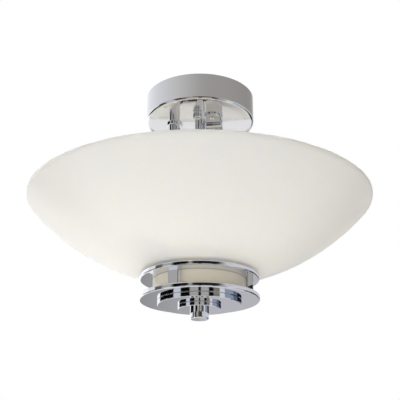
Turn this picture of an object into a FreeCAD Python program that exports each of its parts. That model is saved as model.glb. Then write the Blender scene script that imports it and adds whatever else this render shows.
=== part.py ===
"""Semi flush ceiling light: a chrome canopy, a wide opal glass bowl and a stepped chrome foot.

The origin is the centre of the canopy where it meets the ceiling, +Z points up into the ceiling,
and -Y is the side that faces the viewer. All lengths are millimetres. Levels are written as drops
below the ceiling.
"""

import FreeCAD, Part
import Sketcher
import math
import os

DOCUMENT = FreeCAD.newDocument("CeilingLight")
SHEET = DOCUMENT.addObject("Spreadsheet::Sheet", "Sizes")
UP = FreeCAD.Vector(0, 0, 1)
NODES = {}

DRIVING_SIZES = [
    # Canopy: a spun steel pan whose flat underside turns up a little before its rolled edge.
    ("canopy_dia", 127.5),
    ("canopy_height", 32.6),
    ("canopy_wall", 1.2),
    ("canopy_flat_dia", 112.0),
    ("canopy_shoulder_rise", 0.9),
    ("canopy_shoulder_round", 40.0),
    ("canopy_edge_round", 3.0),
    # Bar that is screwed to the ceiling box, and the two studs that carry the canopy.
    ("bar_length", 108.0),
    ("bar_width", 22.0),
    ("bar_thick", 2.5),
    ("bar_corner_round", 5.5),
    ("box_screw_spacing", 88.9),
    ("box_screw_hole_dia", 4.8),
    ("stud_spacing", 64.0),
    ("stud_dia", 4.0),
    ("stud_nut_flats", 7.0),
    ("stud_nut_height", 3.2),
    ("stud_hole_clearance", 0.5),
    # Knobs under the canopy.
    ("knob_neck_dia", 8.0),
    ("knob_neck_height", 1.2),
    ("knob_dia", 9.8),
    ("knob_height", 7.0),
    ("knob_tip_wall", 2.4),
    ("knob_tip_round", 2.2),
    ("knob_shoulder_round", 0.8),
    ("thread_clearance", 0.08),
    ("thread_end_gap", 0.4),
    # Terminal block and earth screw on the bar.
    ("terminal_length", 34.0),
    ("terminal_width", 17.0),
    ("terminal_height", 12.0),
    ("terminal_wire_hole_dia", 4.0),
    ("terminal_pitch", 10.0),
    ("terminal_screw_dia", 4.2),
    ("terminal_screw_sunk", 1.0),
    ("terminal_screw_length", 3.0),
    ("terminal_edge_round", 0.8),
    ("earth_screw_offset", 21.5),
    ("earth_screw_dia", 4.0),
    ("earth_head_dia", 7.6),
    ("earth_head_height", 2.6),
    ("earth_head_round", 1.3),
    # Hollow threaded rod that ties the whole light together.
    ("rod_dia", 9.6),
    ("rod_bore", 6.0),
    ("rod_above_nut", 3.0),
    ("rod_into_finial", 7.0),
    ("rod_clearance", 0.3),
    ("rod_nut_flats", 17.0),
    ("rod_nut_height", 5.0),
    ("rod_washer_dia", 21.0),
    ("rod_washer_thick", 1.0),
    # Centre stem, side tube and side strap between canopy and lamp plate.
    ("stem_dia", 12.0),
    ("upper_stem_length", 85.4),
    ("side_tube_dia", 12.7),
    ("side_tube_bore", 8.6),
    ("side_tube_spigot_dia", 10.6),
    ("side_tube_offset", 30.0),
    ("side_collar_dia", 18.5),
    ("side_collar_thick", 2.5),
    ("side_collar_round", 0.75),
    ("side_nut_flats", 15.0),
    ("side_nut_height", 3.6),
    ("spigot_end", 0.8),
    ("strap_width", 20.0),
    ("strap_thick", 2.5),
    ("strap_reach", 30.4),
    ("strap_edge_round", 1.5),
    ("strap_bend", 5.5),
    ("strap_nose_round", 9.8),
    ("strap_across", 16.6),
    ("strap_forward", 5.0),
    ("strap_screw_dia", 4.0),
    ("strap_head_dia", 7.6),
    ("strap_screw_inset", 9.5),
    ("strap_nut_flats", 7.0),
    ("strap_nut_height", 3.2),
    # Lamp plate with its three bent tabs.
    ("lamp_plate_dia", 88.0),
    ("lamp_plate_thick", 2.0),
    ("tab_width", 28.0),
    ("tab_offset", 26.0),
    ("tab_bend", 1.6),
    ("tab_corner_round", 7.0),
    ("tab_below_lamp", 12.0),
    ("lamp_axis_below_plate", 36.0),
    # Lampholders, their thread shells and the lamps.
    ("holder_dia", 38.0),
    ("holder_length", 36.0),
    ("holder_back_dia", 30.4),
    ("holder_mouth_round", 1.2),
    ("holder_socket_dia", 28.0),
    ("holder_socket_depth", 28.0),
    ("holder_boss_dia", 10.0),
    ("holder_boss_end", 1.0),
    ("holder_nut_flats", 14.0),
    ("holder_nut_height", 3.5),
    ("shell_wall", 0.5),
    ("shell_length", 24.0),
    ("shell_floor", 0.8),
    ("shell_fit", 0.1),
    ("lamp_fit", 0.3),
    ("lamp_cap_dia", 26.2),
    ("lamp_cap_tip_dia", 10.0),
    ("lamp_cap_tip_height", 4.0),
    ("lamp_cap_length", 25.0),
    ("bulb_dia", 47.0),
    ("bulb_neck_dia", 29.0),
    ("bulb_neck_length", 9.0),
    ("bulb_shoulder_dia", 40.0),
    ("lamp_length", 88.0),
    # Clamp inside the bowl.
    ("lower_stem_dia", 14.0),
    ("lower_stem_length", 90.1),
    ("clamp_overlap", 10.0),
    ("clamp_plate_thick", 2.5),
    ("clamp_edge_round", 1.0),
    ("clamp_window_dia", 20.0),
    ("clamp_window_circle", 56.0),
    ("gasket_thick", 1.0),
    ("gasket_width", 8.0),
    ("gasket_inset", 1.0),
    # Opal glass bowl: a shallow dish cut from a sphere, with a short upright lip.
    ("bowl_dia", 387.0),
    ("bowl_curve_depth", 80.0),
    ("bowl_floor_margin", 6.7),
    ("bowl_hole_inset", 2.0),
    ("bowl_wall", 4.0),
    ("bowl_lip_height", 4.5),
    ("bowl_lip_outer_round", 6.0),
    ("bowl_lip_inner_round", 2.0),
    ("bowl_rim_round", 1.9),
    # Foot: a ring and a disc of one diameter, the posts and glass collar between them, and two steps.
    ("foot_dia", 132.0),
    ("ring_thick", 5.3),
    ("ring_lip", 6.0),
    ("plate_edge_round", 1.4),
    ("post_width", 12.8),
    ("post_depth", 6.8),
    ("post_inset", 10.7),
    ("post_corner_round", 0.8),
    ("post_spigot_dia", 5.0),
    ("post_spigot_length", 3.0),
    ("post_screw_dia", 4.0),
    ("post_screw_head_dia", 7.0),
    ("post_screw_depth", 9.0),
    ("screw_clearance", 0.2),
    ("screw_fit", 0.05),
    ("collar_post_gap", 0.4),
    ("collar_glass_wall", 3.5),
    ("collar_gap", 17.5),
    ("collar_gasket_thick", 0.6),
    ("disc_thick", 5.3),
    ("upper_step_dia", 92.2),
    ("upper_step_thick", 5.2),
    ("lower_step_dia", 47.4),
    ("lower_step_thick", 4.3),
    ("step_edge_round", 0.75),
    ("finial_dia", 20.6),
    ("finial_length", 10.5),
    ("finial_edge_round", 1.5),
]

POSTS = ("post_left", "post_right", "post_back")
LAMPS = ("1", "2", "3")
CLAMP_WINDOWS = 6
FIRST_POST_ANGLE = -118.0
BAR_ANGLE = 84.65
STRAP_ANGLE = 82.0
SAME = 1e-4


def size(name):
    """Return the expression that reads one driving size."""
    return "Sizes." + name


def total(*parts):
    """Return the expression that adds several expressions up."""
    return "(" + " + ".join(parts) + ")"


def less(whole, *parts):
    """Return the expression that takes the later expressions off the first."""
    return "(" + " - ".join((whole,) + parts) + ")"


def half(expression):
    """Return the expression for half of another."""
    return "(" + expression + " / 2)"


def below(drop):
    """Return the height that lies a drop below the ceiling."""
    return "(0 - " + drop + ")"


def value(expression):
    """Return what an expression comes to with the present sizes."""
    result = SHEET.evalExpression(expression)
    return float(getattr(result, "Value", result))


def fill_sheet():
    """Write the driving sizes to the sheet, one row each with its alias."""
    for row, (name, number) in enumerate(DRIVING_SIZES, start=1):
        SHEET.set("A%d" % row, name)
        SHEET.set("B%d" % row, str(number))
        SHEET.setAlias("B%d" % row, name)
    DOCUMENT.recompute()


# Levels of the stack, as drops below the ceiling -------------------------------------------------

CANOPY_UNDERSIDE = size("canopy_height")
CANOPY_INSIDE = less(size("canopy_height"), size("canopy_wall"))
LAMP_PLATE_TOP = total(CANOPY_UNDERSIDE, size("upper_stem_length"))
LAMP_PLATE_UNDERSIDE = total(LAMP_PLATE_TOP, size("lamp_plate_thick"))
LAMP_AXIS = total(LAMP_PLATE_UNDERSIDE, size("lamp_axis_below_plate"))
CLAMP_TOP = total(LAMP_PLATE_UNDERSIDE, size("lower_stem_length"))
CLAMP_UNDERSIDE = total(CLAMP_TOP, size("clamp_plate_thick"))
BOWL_FLOOR = total(CLAMP_UNDERSIDE, size("gasket_thick"))
BOWL_UNDERSIDE = total(BOWL_FLOOR, size("bowl_wall"))
RING_TOP = total(BOWL_UNDERSIDE, size("gasket_thick"))
RING_UNDERSIDE = total(RING_TOP, size("ring_thick"))
DISC_TOP = total(RING_UNDERSIDE, size("collar_gap"))
DISC_UNDERSIDE = total(DISC_TOP, size("disc_thick"))
UPPER_STEP_UNDERSIDE = total(DISC_UNDERSIDE, size("upper_step_thick"))
LOWER_STEP_UNDERSIDE = total(UPPER_STEP_UNDERSIDE, size("lower_step_thick"))
ROD_TOP = less(CANOPY_INSIDE, size("rod_washer_thick"), size("rod_nut_height"), size("rod_above_nut"))
ROD_BOTTOM = total(LOWER_STEP_UNDERSIDE, size("rod_into_finial"))
ROD_HOLE_RADIUS = total(half(size("rod_dia")), size("rod_clearance"))
ROD_THREAD_RADIUS = total(half(size("rod_dia")), size("thread_clearance"))

# Radii of the foot and of the bowl's floor, each worked out from the one outside it.
FOOT_RADIUS = half(size("foot_dia"))
POST_CENTRE = less(FOOT_RADIUS, size("post_inset"))
COLLAR_OUTSIDE = less(POST_CENTRE, half(size("post_depth")), size("collar_post_gap"))
COLLAR_INSIDE = less(COLLAR_OUTSIDE, size("collar_glass_wall"))
RING_HOLE = less(COLLAR_INSIDE, size("ring_lip"))
BOWL_HOLE = less(RING_HOLE, size("bowl_hole_inset"))
CLAMP_RADIUS = total(BOWL_HOLE, size("clamp_overlap"))
BOWL_FLOOR_RADIUS = total(CLAMP_RADIUS, size("bowl_floor_margin"))


# Building helpers ---------------------------------------------------------------------------------

def new_body(label):
    """Start a solid with its own name and file."""
    body = DOCUMENT.addObject("PartDesign::Body", "Body_" + label)
    body.Label = label
    NODES[label] = body
    return body


def origin_plane(body, role):
    """Return one of the body's own origin planes."""
    return next(item for item in body.Origin.OriginFeatures if item.Role == role)


def new_sketch(body, name, role):
    """Start a sketch on one of the body's origin planes."""
    sketch = body.newObject("Sketcher::SketchObject", name)
    sketch.AttachmentSupport = [(origin_plane(body, role), "")]
    sketch.MapMode = "FlatFace"
    return sketch


def bind(sketch, constraint, expression):
    """Add a dimension to a sketch and tie it to an expression."""
    index = sketch.addConstraint(constraint)
    sketch.setExpression("Constraints[%d]" % index, expression)


def add_outline(sketch, corners, arcs):
    """Draw a closed outline through corners given as expressions.

    An edge whose number is in arcs is a piece of a circle centred on the vertical axis, at the
    height that arcs gives for it. The other edges are straight.
    """
    points = [FreeCAD.Vector(value(across), value(height), 0) for across, height in corners]
    ends = []
    first = sketch.GeometryCount
    for number, start in enumerate(points):
        finish = points[(number + 1) % len(points)]
        if number in arcs:
            centre = FreeCAD.Vector(0, value(arcs[number]), 0)
            radius = (start - centre).Length
            angles = [math.atan2(end.y - centre.y, end.x - centre.x) for end in (start, finish)]
            circle = Part.Circle(centre, UP, radius)
            sketch.addGeometry(Part.ArcOfCircle(circle, min(angles), max(angles)))
            ends.append((1, 2) if angles[0] < angles[1] else (2, 1))
        else:
            sketch.addGeometry(Part.LineSegment(start, finish))
            ends.append((1, 2))
    for number, (across, height) in enumerate(corners):
        here = first + number
        following = (number + 1) % len(corners)
        there = first + following
        sketch.addConstraint(
            Sketcher.Constraint("Coincident", here, ends[number][1], there, ends[following][0]))
        start = points[number]
        vertex = ends[number][0]
        bind(sketch, Sketcher.Constraint("DistanceX", -1, 1, here, vertex, start.x), across)
        bind(sketch, Sketcher.Constraint("DistanceY", -1, 1, here, vertex, start.y), height)
        if number in arcs:
            sketch.addConstraint(Sketcher.Constraint("PointOnObject", here, 3, -2))


def add_circle(sketch, across, along, radius):
    """Draw a circle whose centre and radius are expressions."""
    centre = FreeCAD.Vector(value(across), value(along), 0)
    index = sketch.addGeometry(Part.Circle(centre, UP, value(radius)))
    bind(sketch, Sketcher.Constraint("DistanceX", -1, 1, index, 3, centre.x), across)
    bind(sketch, Sketcher.Constraint("DistanceY", -1, 1, index, 3, centre.y), along)
    bind(sketch, Sketcher.Constraint("Radius", index, value(radius)), radius)


def add_rectangle(sketch, left, right, low, high):
    """Draw a rectangle from the expressions for its four sides."""
    add_outline(sketch, [(left, low), (right, low), (right, high), (left, high)], {})


def revolve(label, corners, arcs=None):
    """Turn a closed outline, radius across and height up, into a round solid."""
    body = new_body(label)
    sketch = new_sketch(body, "Section_" + label, "XZ_Plane")
    add_outline(sketch, corners, arcs or {})
    turned = body.newObject("PartDesign::Revolution", "Turned_" + label)
    turned.Profile = sketch
    turned.ReferenceAxis = (sketch, ["V_Axis"])
    turned.Angle = 360
    DOCUMENT.recompute()
    return body


def pad(body, sketch, name, length, midplane=False, downwards=False):
    """Raise a sketch into a solid and return the feature."""
    feature = body.newObject("PartDesign::Pad", name)
    feature.Profile = sketch
    feature.Midplane = midplane
    feature.Reversed = downwards
    feature.setExpression("Length", length)
    DOCUMENT.recompute()
    return feature


def pocket(body, sketch, name, depth, upwards=False):
    """Cut a sketch into the body to a depth and return the feature."""
    before = body.Shape.Volume
    feature = body.newObject("PartDesign::Pocket", name)
    feature.Profile = sketch
    feature.Reversed = upwards
    feature.setExpression("Length", depth)
    DOCUMENT.recompute()
    if not body.Shape.Volume < before:
        raise ValueError(name + " cuts nothing")
    return feature


def pocket_through(body, sketch, name):
    """Cut a sketch right through the body, both ways from its plane."""
    before = body.Shape.Volume
    feature = body.newObject("PartDesign::Pocket", name)
    feature.Profile = sketch
    feature.Type = "ThroughAll"
    feature.Midplane = True
    DOCUMENT.recompute()
    if not body.Shape.Volume < before:
        raise ValueError(name + " cuts nothing")
    return feature


def round_edges(body, name, radius, wanted, kind="PartDesign::Fillet"):
    """Round or bevel the edges of a body's last feature that the wanted test picks."""
    base = body.Tip
    edges = ["Edge%d" % number for number, edge in enumerate(base.Shape.Edges, start=1) if wanted(edge)]
    if not edges:
        raise ValueError(name + " finds no edge")
    feature = body.newObject(kind, name)
    feature.Base = (base, edges)
    feature.setExpression("Radius" if kind == "PartDesign::Fillet" else "Size", radius)
    DOCUMENT.recompute()
    return feature


def is_circle(edge, radius, height):
    """Say whether an edge is a full circle of a radius at a height of the body's own frame."""
    curve = edge.Curve
    if not hasattr(curve, "Radius") or not edge.Closed:
        return False
    return abs(curve.Radius - value(radius)) < SAME and abs(curve.Center.z - value(height)) < SAME


def upright(height):
    """Return a test that picks straight upright edges of a given length."""
    return lambda edge: (edge.Curve.TypeId == "Part::GeomLine"
                         and abs(edge.BoundBox.ZLength - value(height)) < SAME)


def circles(*places):
    """Return a test that picks full circles at the given radius and height expressions."""
    return lambda edge: any(is_circle(edge, radius, height) for radius, height in places)


def place(item, height, across="0", along="0", turn=0.0):
    """Put a piece at its place, turned about the vertical."""
    item.Placement = FreeCAD.Placement(FreeCAD.Vector(), FreeCAD.Rotation(UP, turn))
    item.setExpression("Placement.Base.x", across)
    item.setExpression("Placement.Base.y", along)
    item.setExpression("Placement.Base.z", height)


def cylinder(name, radius, height, level="0", across="0", along="0"):
    """Make an upright cylinder that stands on a level."""
    item = DOCUMENT.addObject("Part::Cylinder", name)
    item.setExpression("Radius", radius)
    item.setExpression("Height", height)
    place(item, level, across, along)
    return item


def cut(name, base, tool):
    """Make the difference of two shapes."""
    item = DOCUMENT.addObject("Part::Cut", name)
    item.Base = base
    item.Tool = tool
    return item


def keep(item, label):
    """Name a finished piece and keep it for its file."""
    item.Label = label
    NODES[label] = item
    return item


def tube(label, outer, inner, length, level, across="0"):
    """Make a plain upright tube, its lower end on a level."""
    outside = cylinder("Outside_" + label, outer, length)
    inside = cylinder("Inside_" + label, inner, length)
    item = keep(cut("Tube_" + label, outside, inside), label)
    place(item, level, across)
    return item


def hex_nut(name, flats, height, hole, level="0", across="0", along="0", turn=0.0):
    """Make a hexagon nut that stands on a level."""
    outside = DOCUMENT.addObject("Part::Prism", "Hexagon_" + name)
    outside.Polygon = 6
    outside.setExpression("Circumradius", flats + " / sqrt(3)")
    outside.setExpression("Height", height)
    item = cut("Nut_" + name, outside, cylinder("Thread_" + name, hole, height))
    place(item, level, across, along, turn)
    return item


def group(label, items):
    """Keep several equal pieces together in one node."""
    item = DOCUMENT.addObject("Part::Compound", "Group_" + label)
    item.Links = items
    return keep(item, label)


def spread(names, first_angle=0.0):
    """Return names, each with the angle at which it stands when all are spread evenly round the axis."""
    return [(name, first_angle + number * 360.0 / len(names)) for number, name in enumerate(names)]


def turned_point(distance, angle):
    """Return the expressions for a point at a distance from the axis, in a direction in degrees."""
    return distance + " * cos(%r)" % angle, distance + " * sin(%r)" % angle


# Ceiling bar and canopy ---------------------------------------------------------------------------

def make_mounting_bar():
    """Flat steel bar with the ceiling box holes, the stud holes and the earth screw hole."""
    body = new_body("mounting_bar")
    sketch = new_sketch(body, "Bar_outline", "XY_Plane")
    length = half(size("bar_length"))
    width = half(size("bar_width"))
    add_rectangle(sketch, "-" + length, length, "-" + width, width)
    pad(body, sketch, "Bar", size("bar_thick"))
    holes = new_sketch(body, "Bar_holes", "XY_Plane")
    for side in ("-", ""):
        add_circle(holes, side + half(size("box_screw_spacing")), "0", half(size("box_screw_hole_dia")))
        add_circle(holes, side + half(size("stud_spacing")), "0", stud_thread_radius())
    add_circle(holes, size("earth_screw_offset"), "0",
               total(half(size("earth_screw_dia")), size("thread_clearance")))
    pocket_through(body, holes, "Bar_holes_cut")
    at_end = value(length) * 0.999
    round_edges(body, "Bar_corners", size("bar_corner_round"),
                lambda edge: upright(size("bar_thick"))(edge) and abs(edge.BoundBox.XMin) > at_end)
    place(body, below(size("bar_thick")), turn=BAR_ANGLE)


def stud_thread_radius():
    """Radius of a hole that takes a canopy stud's thread."""
    return total(half(size("stud_dia")), size("thread_clearance"))


def stud_place(side):
    """Place of one canopy stud: side -1 is the one that faces the viewer."""
    distance = "(%d) * " % side + half(size("stud_spacing"))
    return turned_point(distance, BAR_ANGLE)


def make_studs():
    """Two threaded studs that hang from the bar, each with a lock nut."""
    studs = []
    nuts = []
    length = less(total(size("canopy_height"), size("knob_neck_height"), size("knob_height")),
                  size("knob_tip_wall"), size("thread_end_gap"))
    for number, side in enumerate((-1, 1), start=1):
        across, along = stud_place(side)
        studs.append(cylinder("Stud_%d" % number, half(size("stud_dia")), length,
                              below(length), across, along))
        level = below(total(size("bar_thick"), size("stud_nut_height")))
        nuts.append(hex_nut("stud_%d" % number, size("stud_nut_flats"), size("stud_nut_height"),
                            stud_thread_radius(), level, across, along, BAR_ANGLE))
    group("canopy_studs", studs)
    group("stud_nuts", nuts)


def make_terminal_block():
    """Three-way terminal block under the bar, with wire holes right through and sunk screws."""
    body = new_body("terminal_block")
    sketch = new_sketch(body, "Block_outline", "XY_Plane")
    length = half(size("terminal_length"))
    width = half(size("terminal_width"))
    add_rectangle(sketch, "-" + length, length, "-" + width, width)
    pad(body, sketch, "Block", size("terminal_height"))
    wires = new_sketch(body, "Wire_holes", "XZ_Plane")
    screws = new_sketch(body, "Screw_holes", "XY_Plane")
    screw_radius = total(half(size("terminal_screw_dia")), size("thread_clearance"))
    for way in (-1, 0, 1):
        across = "(%d) * " % way + size("terminal_pitch")
        add_circle(wires, across, half(size("terminal_height")), half(size("terminal_wire_hole_dia")))
        for side in (-1, 1):
            add_circle(screws, across, "(%d) * " % side + size("terminal_width") + " / 4", screw_radius)
    pocket_through(body, wires, "Wire_holes_cut")
    depth = total(size("terminal_screw_sunk"), size("terminal_screw_length"))
    pocket(body, screws, "Screw_holes_cut", depth, upwards=True)
    round_edges(body, "Block_edges", size("terminal_edge_round"), upright(size("terminal_height")))
    bottom = below(total(size("bar_thick"), size("terminal_height")))
    place(body, bottom, turn=BAR_ANGLE)
    make_terminal_screws()


def make_terminal_screws():
    """Six clamp screws, sunk in the underside of the terminal block."""
    screws = []
    radius = half(size("terminal_screw_dia"))
    level = total(below(total(size("bar_thick"), size("terminal_height"))), size("terminal_screw_sunk"))
    for way in (-1, 0, 1):
        for side in (-1, 1):
            long_way = "(%d) * " % way + size("terminal_pitch")
            short_way = "(%d) * " % side + size("terminal_width") + " / 4"
            across = "%s * cos(%r) - %s * sin(%r)" % (long_way, BAR_ANGLE, short_way, BAR_ANGLE)
            along = "%s * sin(%r) + %s * cos(%r)" % (long_way, BAR_ANGLE, short_way, BAR_ANGLE)
            name = "Terminal_screw_%d" % (len(screws) + 1)
            screws.append(cylinder(name, radius, size("terminal_screw_length"), level, across, along))
    group("terminal_screws", screws)


def make_earth_screw():
    """Earth screw with a round head under the bar."""
    radius = half(size("earth_screw_dia"))
    head = half(size("earth_head_dia"))
    low = below(size("earth_head_height"))
    high = size("bar_thick")
    corners = [("0", low), (head, low), (head, "0"), (radius, "0"), (radius, high), ("0", high)]
    body = revolve("earth_screw", corners)
    round_edges(body, "Head_round", size("earth_head_round"), circles((head, low)))
    across, along = turned_point(size("earth_screw_offset"), BAR_ANGLE)
    place(body, below(size("bar_thick")), across, along)


def make_canopy():
    """Spun pan, open to the ceiling, with holes for the studs, rod, side tube and strap screw."""
    radius = half(size("canopy_dia"))
    inner = less(radius, size("canopy_wall"))
    flat = half(size("canopy_flat_dia"))
    wall = size("canopy_wall")
    rise = size("canopy_shoulder_rise")
    corners = [("0", "0"), (flat, "0"), (radius, rise), (radius, size("canopy_height")),
               (inner, size("canopy_height")), (inner, total(rise, wall)), (flat, wall), ("0", wall)]
    body = revolve("canopy", corners)
    round_edges(body, "Shoulder", size("canopy_shoulder_round"), circles((flat, "0")))
    round_edges(body, "Shoulder_inside", less(size("canopy_shoulder_round"), wall), circles((flat, wall)))
    round_edges(body, "Rolled_edge", size("canopy_edge_round"), circles((radius, rise)))
    round_edges(body, "Rolled_edge_inside", less(size("canopy_edge_round"), wall),
                circles((inner, total(rise, wall))))
    holes = new_sketch(body, "Canopy_holes", "XY_Plane")
    add_circle(holes, "0", "0", ROD_HOLE_RADIUS)
    add_circle(holes, "-" + size("side_tube_offset"), "0", spigot_hole_radius())
    nose_across, nose_along = strap_screw_place()
    add_circle(holes, nose_across, nose_along, strap_hole_radius())
    for side in (-1, 1):
        across, along = stud_place(side)
        add_circle(holes, across, along, total(half(size("stud_dia")), size("stud_hole_clearance")))
    pocket_through(body, holes, "Canopy_holes_cut")
    place(body, below(CANOPY_UNDERSIDE))


def make_knob(label, side):
    """Turned cap nut: a round barrel on a narrow neck, blind from above."""
    barrel = half(size("knob_dia"))
    neck = half(size("knob_neck_dia"))
    length = total(size("knob_neck_height"), size("knob_height"))
    floor = below(less(length, size("knob_tip_wall")))
    step = below(size("knob_neck_height"))
    corners = [("0", below(length)), (barrel, below(length)), (barrel, step), (neck, step), (neck, "0"),
               (stud_thread_radius(), "0"), (stud_thread_radius(), floor), ("0", floor)]
    body = revolve(label, corners)
    round_edges(body, "Tip_" + label, size("knob_tip_round"), circles((barrel, below(length))))
    round_edges(body, "Shoulder_" + label, size("knob_shoulder_round"), circles((barrel, step)))
    across, along = stud_place(side)
    place(body, below(CANOPY_UNDERSIDE), across, along)


# Rod, stem, side tube and strap -------------------------------------------------------------------

def make_rod():
    """Hollow threaded rod from inside the canopy down into the finial, with its nut and washer."""
    length = less(ROD_BOTTOM, ROD_TOP)
    tube("threaded_rod", half(size("rod_dia")), half(size("rod_bore")), length, below(ROD_BOTTOM))
    washer = half(size("rod_washer_dia"))
    washer_level = below(CANOPY_INSIDE)
    tube("rod_washer", washer, ROD_HOLE_RADIUS, size("rod_washer_thick"), washer_level)
    nut_level = total(washer_level, size("rod_washer_thick"))
    nut = hex_nut("rod", size("rod_nut_flats"), size("rod_nut_height"), ROD_THREAD_RADIUS, nut_level)
    keep(nut, "rod_nut")


def make_stems():
    """Plain tubes round the rod, above and below the lamp plate."""
    upper = half(size("stem_dia"))
    lower = half(size("lower_stem_dia"))
    tube("upper_stem", upper, ROD_HOLE_RADIUS, size("upper_stem_length"), below(LAMP_PLATE_TOP))
    tube("lower_stem", lower, ROD_HOLE_RADIUS, size("lower_stem_length"), below(CLAMP_TOP))


def spigot_hole_radius():
    """Radius of the holes that the side tube's threaded ends pass through."""
    return total(half(size("side_tube_spigot_dia")), size("screw_clearance"))


def make_side_tube():
    """Wire tube with a threaded spigot at each end, its collar and its two nuts."""
    outer = half(size("side_tube_dia"))
    spigot = half(size("side_tube_spigot_dia"))
    bore = half(size("side_tube_bore"))
    body_top = less(size("upper_stem_length"), size("side_collar_thick"))
    top = total(size("upper_stem_length"), size("canopy_wall"), size("side_nut_height"), size("spigot_end"))
    bottom = below(total(size("lamp_plate_thick"), size("side_nut_height"), size("spigot_end")))
    corners = [(bore, bottom), (spigot, bottom), (spigot, "0"), (outer, "0"), (outer, body_top),
               (spigot, body_top), (spigot, top), (bore, top)]
    body = revolve("side_tube", corners)
    across = "-" + size("side_tube_offset")
    place(body, below(LAMP_PLATE_TOP), across)
    collar_outer = half(size("side_collar_dia"))
    collar_thick = size("side_collar_thick")
    collar_corners = [(spigot_hole_radius(), "0"), (collar_outer, "0"),
                      (collar_outer, collar_thick), (spigot_hole_radius(), collar_thick)]
    collar = revolve("side_tube_collar", collar_corners)
    round_edges(collar, "Collar_edge", size("side_collar_round"), circles((collar_outer, "0")))
    place(collar, below(total(CANOPY_UNDERSIDE, collar_thick)), across)
    thread = total(spigot, size("thread_clearance"))
    nuts = [hex_nut("side_top", size("side_nut_flats"), size("side_nut_height"), thread,
                    below(CANOPY_INSIDE), across),
            hex_nut("side_bottom", size("side_nut_flats"), size("side_nut_height"), thread,
                    below(total(LAMP_PLATE_UNDERSIDE, size("side_nut_height"))), across)]
    group("side_tube_nuts", nuts)


def strap_hole_radius():
    """Radius of the holes for the strap's screws."""
    return total(half(size("strap_screw_dia")), size("screw_clearance"))


def strap_local_hole():
    """Distance of the strap's screw holes in front of the strap's back face."""
    return less(size("strap_thick"), size("strap_reach")) + " + " + size("strap_screw_inset")


def strap_screw_place():
    """Place of the strap's two screws, one above the other."""
    along_foot = "(" + strap_local_hole() + ")"
    across = "%s + %s * cos(%r)" % (size("strap_across"), along_foot, STRAP_ANGLE)
    along = "0 - %s + %s * sin(%r)" % (size("strap_forward"), along_foot, STRAP_ANGLE)
    return across, along


def crossing(across, *heights):
    """Return a test that picks the strap's straight edges that run across it at given heights."""
    levels = [value(height) for height in heights]
    return lambda edge: (edge.BoundBox.ZLength < SAME and edge.BoundBox.XLength < SAME
                         and abs(edge.BoundBox.XMin - value(across)) < SAME
                         and any(abs(edge.BoundBox.ZMin - level) < SAME for level in levels))


def make_strap():
    """Flat bar bent forward at both ends into feet with round noses."""
    body = new_body("side_strap")
    profile = new_sketch(body, "Strap_profile", "XZ_Plane")
    thick = size("strap_thick")
    nose = less(thick, size("strap_reach"))
    high = size("upper_stem_length")
    corners = [(nose, "0"), (thick, "0"), (thick, high), (nose, high), (nose, less(high, thick)),
               ("0", less(high, thick)), ("0", thick), (nose, thick)]
    add_outline(profile, corners, {})
    pad(body, profile, "Strap", size("strap_width"), midplane=True)
    round_edges(body, "Bends_inside", size("strap_bend"), crossing("0", thick, less(high, thick)))
    round_edges(body, "Bends_outside", total(size("strap_bend"), thick), crossing(thick, "0", high))
    at_nose = value(nose)
    round_edges(body, "Noses", size("strap_nose_round"),
                lambda edge: upright(thick)(edge) and abs(edge.BoundBox.XMax - at_nose) < SAME)
    holes = new_sketch(body, "Strap_holes", "XY_Plane")
    add_circle(holes, strap_local_hole(), "0", strap_hole_radius())
    pocket_through(body, holes, "Strap_holes_cut")
    sunk = half(less(size("strap_head_dia"), size("strap_screw_dia")))
    rims = [(strap_hole_radius(), level) for level in (thick, less(high, thick))]
    round_edges(body, "Strap_countersinks", sunk, circles(*rims), kind="PartDesign::Chamfer")
    web = less(high, thick, thick, size("strap_bend"), size("strap_bend"))
    round_edges(body, "Strap_soft_edges", size("strap_edge_round"),
                lambda edge: upright(web)(edge) and abs(edge.BoundBox.XMin) < SAME)
    place(body, below(LAMP_PLATE_TOP), size("strap_across"), "-" + size("strap_forward"), STRAP_ANGLE)
    make_strap_fasteners()


def make_strap_fasteners():
    """Countersunk screw and nut at each foot of the strap."""
    across, along = strap_screw_place()
    shank = half(size("strap_screw_dia"))
    head = half(size("strap_head_dia"))
    head_height = less(head, shank)
    screws = []
    nuts = []
    beyond = total(size("strap_thick"), size("strap_nut_height"), size("spigot_end"))
    lengths = {"top": total(beyond, size("canopy_wall")),
               "bottom": total(beyond, size("lamp_plate_thick"))}
    faces = {"top": below(total(CANOPY_UNDERSIDE, size("strap_thick"))),
             "bottom": less(size("strap_thick"), LAMP_PLATE_TOP)}
    nut_levels = {"top": below(CANOPY_INSIDE),
                  "bottom": below(total(LAMP_PLATE_UNDERSIDE, size("strap_nut_height")))}
    for end, way in (("top", 1), ("bottom", -1)):
        cone = DOCUMENT.addObject("Part::Cone", "Strap_head_" + end)
        cone.setExpression("Radius1", head if way > 0 else shank)
        cone.setExpression("Radius2", shank if way > 0 else head)
        cone.setExpression("Height", head_height)
        place(cone, faces[end] if way > 0 else less(faces[end], head_height), across, along)
        stem_level = faces[end] if way > 0 else less(faces[end], lengths[end])
        stem = cylinder("Strap_shank_" + end, shank, lengths[end], stem_level, across, along)
        screw = DOCUMENT.addObject("Part::Fuse", "Strap_screw_" + end)
        screw.Base = cone
        screw.Tool = stem
        screws.append(screw)
        nuts.append(hex_nut("strap_" + end, size("strap_nut_flats"), size("strap_nut_height"),
                            total(shank, size("thread_clearance")), nut_levels[end], across, along))
    group("strap_screws", screws)
    group("strap_nuts", nuts)


# Lamp plate, lampholders and lamps ----------------------------------------------------------------

def holder_boss_hole_radius():
    """Radius of the tab's hole for the lampholder's threaded boss."""
    return total(half(size("holder_boss_dia")), size("screw_clearance"))


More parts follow.
